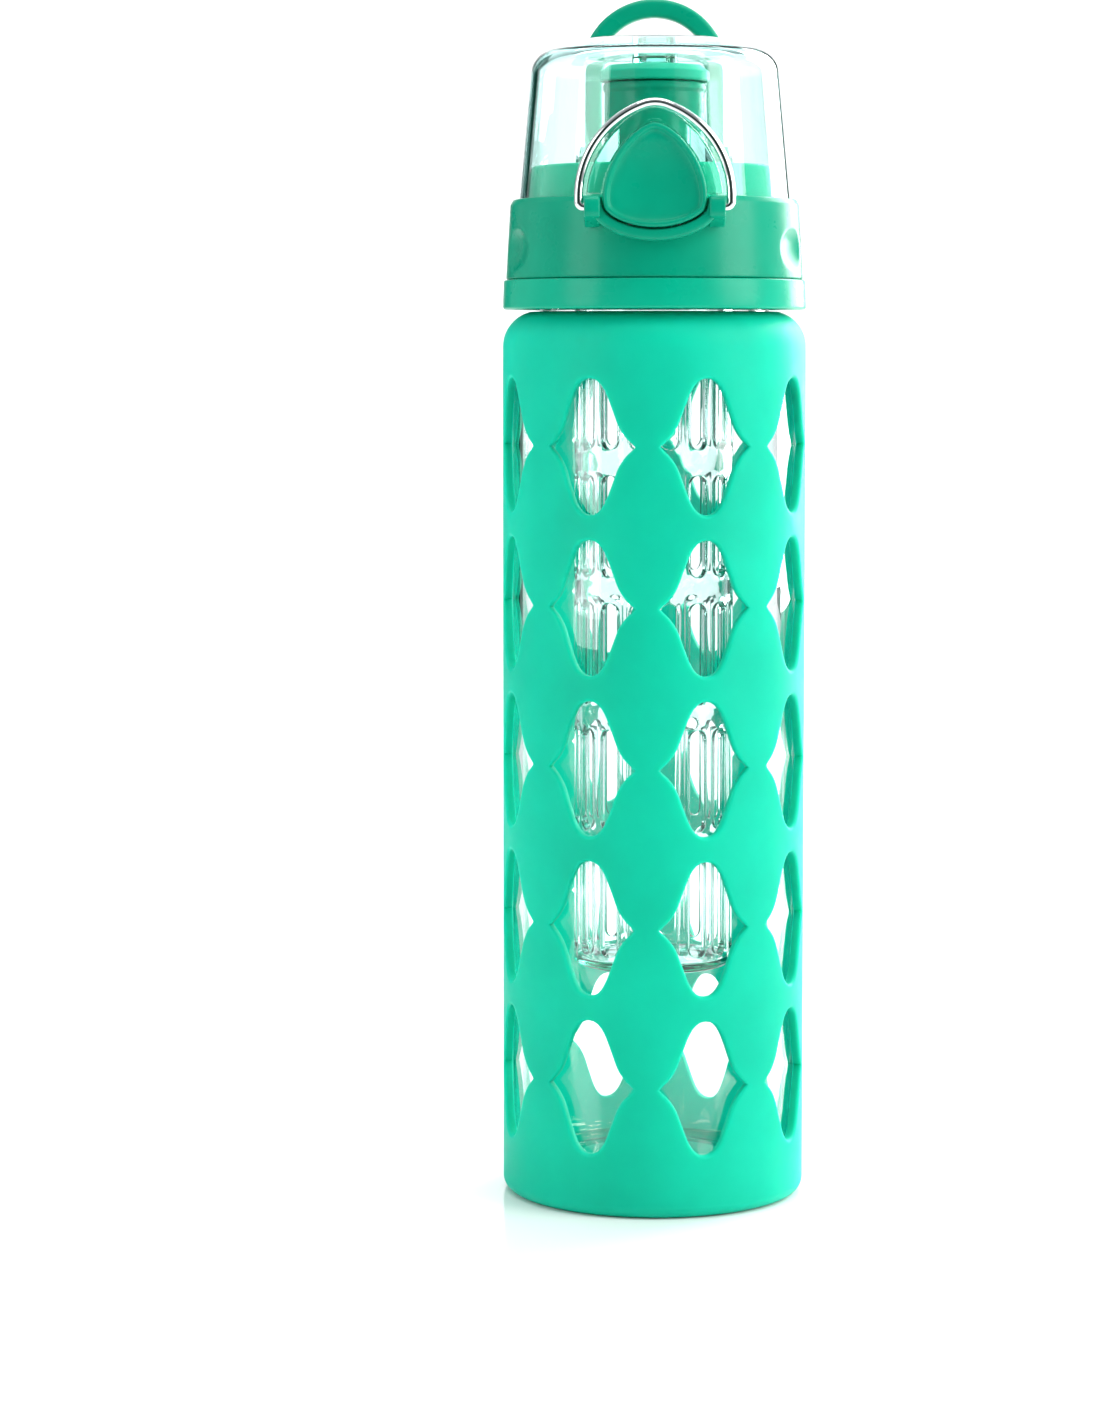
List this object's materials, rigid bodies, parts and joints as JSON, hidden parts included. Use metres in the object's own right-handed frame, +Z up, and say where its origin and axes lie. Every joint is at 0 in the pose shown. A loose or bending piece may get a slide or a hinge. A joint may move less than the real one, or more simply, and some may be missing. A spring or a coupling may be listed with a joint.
{
  "type": "water bottle",
  "caption": "Clear glass fruit-infuser water bottle in a mint green windowed silicone sleeve, with a flip-top screw lid, carry loop, push button and wire bail lock.",
  "frame": {"origin": "centre of the base, on the table", "axes": "+Z up along the bottle's axis; -Y toward the latch button, +Y toward the hinge and carry loop; +X to the right as seen from the latch side"},
  "size_m": [0.071, 0.0753, 0.2834],
  "materials": {
    "clear_glass": "clear",
    "mint_silicone": "matte",
    "white_silicone": "matte",
    "green_silicone": "satin",
    "green_plastic": "satin",
    "clear_plastic": "clear",
    "steel": "drawn wire",
    "chrome_wire": "polished"
  },
  "bodies": {
    "bottle": {"glass_bottle": "clear_glass", "silicone_sleeve": "mint_silicone"},
    "lid_seal": {"lid_gasket": "white_silicone"},
    "lid": {"lid_insert": "green_plastic", "lid_collar": "green_plastic", "spout": "green_plastic", "hinge_pin": "steel", "hinge_springs": "steel", "button_spring": "steel"},
    "infuser_seal": {"infuser_ring": "white_silicone"},
    "infuser": {"infuser_basket": "clear_plastic"},
    "dome": {"dome": "clear_plastic", "spout_seal": "green_silicone"},
    "loop": {"carry_loop": "green_plastic"},
    "bail": {"bail": "chrome_wire"},
    "button": {"button": "green_plastic"}
  },
  "joints": [
    {"name": "lid_lift", "type": "slide", "parent": "bottle", "child": "lid_seal", "axis": [0, 0, 1], "range_m": [0, 0.007]},
    {"name": "lid_turn", "type": "hinge", "parent": "lid_seal", "child": "lid", "pos_m": [0, 0, 0.23], "axis": [0, 0, 1], "range_deg": [0, 630]},
    {"name": "infuser_drop", "type": "slide", "parent": "lid", "child": "infuser_seal", "axis": [0, 0, -1], "range_m": [0, 0.0045]},
    {"name": "infuser_turn", "type": "hinge", "parent": "infuser_seal", "child": "infuser", "pos_m": [0, 0, 0.22], "axis": [0, 0, -1], "range_deg": [0, 540]},
    {"name": "dome_open", "type": "hinge", "parent": "lid", "child": "dome", "pos_m": [0, 0.0336, 0.246], "axis": [-1, 0, 0], "range_deg": [0, 120]},
    {"name": "loop_swing", "type": "hinge", "parent": "dome", "child": "loop", "pos_m": [0, 0.0336, 0.246], "axis": [1, 0, 0], "range_deg": [-165, 0]},
    {"name": "bail_swing", "type": "hinge", "parent": "lid", "child": "bail", "pos_m": [0, -0.0372, 0.2307], "axis": [1, 0, 0], "range_deg": [0, 172]},
    {"name": "button_press", "type": "slide", "parent": "lid", "child": "button", "axis": [0, 1, 0], "range_m": [0, 0.0015], "stiffness_N_per_m": 600, "springref_m": -0.002, "deforming": ["button_spring"]}
  ],
  "couplings": [
    {"joint": "lid_lift", "follows": "lid_turn", "m_per_rad": 0.00063662},
    {"joint": "infuser_drop", "follows": "infuser_turn", "m_per_rad": 0.00047746}
  ]
}
